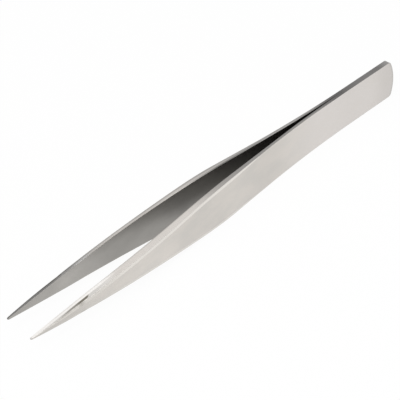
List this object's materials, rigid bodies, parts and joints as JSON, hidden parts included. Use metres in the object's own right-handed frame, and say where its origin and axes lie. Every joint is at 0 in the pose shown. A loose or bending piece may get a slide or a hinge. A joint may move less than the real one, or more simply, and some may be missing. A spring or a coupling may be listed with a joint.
{
  "type": "pointed tweezers",
  "caption": "Pointed steel tweezers: long sprung arms welded at the tail that close to strong sharp points for gripping small parts.",
  "frame": {"origin": "under the middle of the length, in the plane between the arms, at the level of the long edges that the tweezers stand on", "axes": "+X from the tail to the points, +Y towards the left arm, the way the arms open, +Z across the width of the arms"},
  "size_m": [0.12, 0.0112, 0.0107],
  "materials": {
    "satin_steel": "satin ground stainless steel",
    "weld_steel": "dull spot weld"
  },
  "bodies": {
    "tail": {"left_tail": "satin_steel", "right_tail": "satin_steel", "weld_spots": "weld_steel"},
    "left_arm": {"left_arm": "satin_steel"},
    "right_arm": {"right_arm": "satin_steel"}
  },
  "joints": [
    {"name": "left_arm_spring", "type": "hinge", "parent": "tail", "child": "left_arm", "pos_m": [-0.03, 0.00028, 0.00535], "axis": [0, 0, -1], "range_deg": [0, 2.59], "stiffness_Nm_per_rad": 3.5},
    {"name": "right_arm_spring", "type": "hinge", "parent": "tail", "child": "right_arm", "pos_m": [-0.03, -0.00028, 0.00535], "axis": [0, 0, 1], "range_deg": [0, 2.59], "stiffness_Nm_per_rad": 3.5}
  ]
}
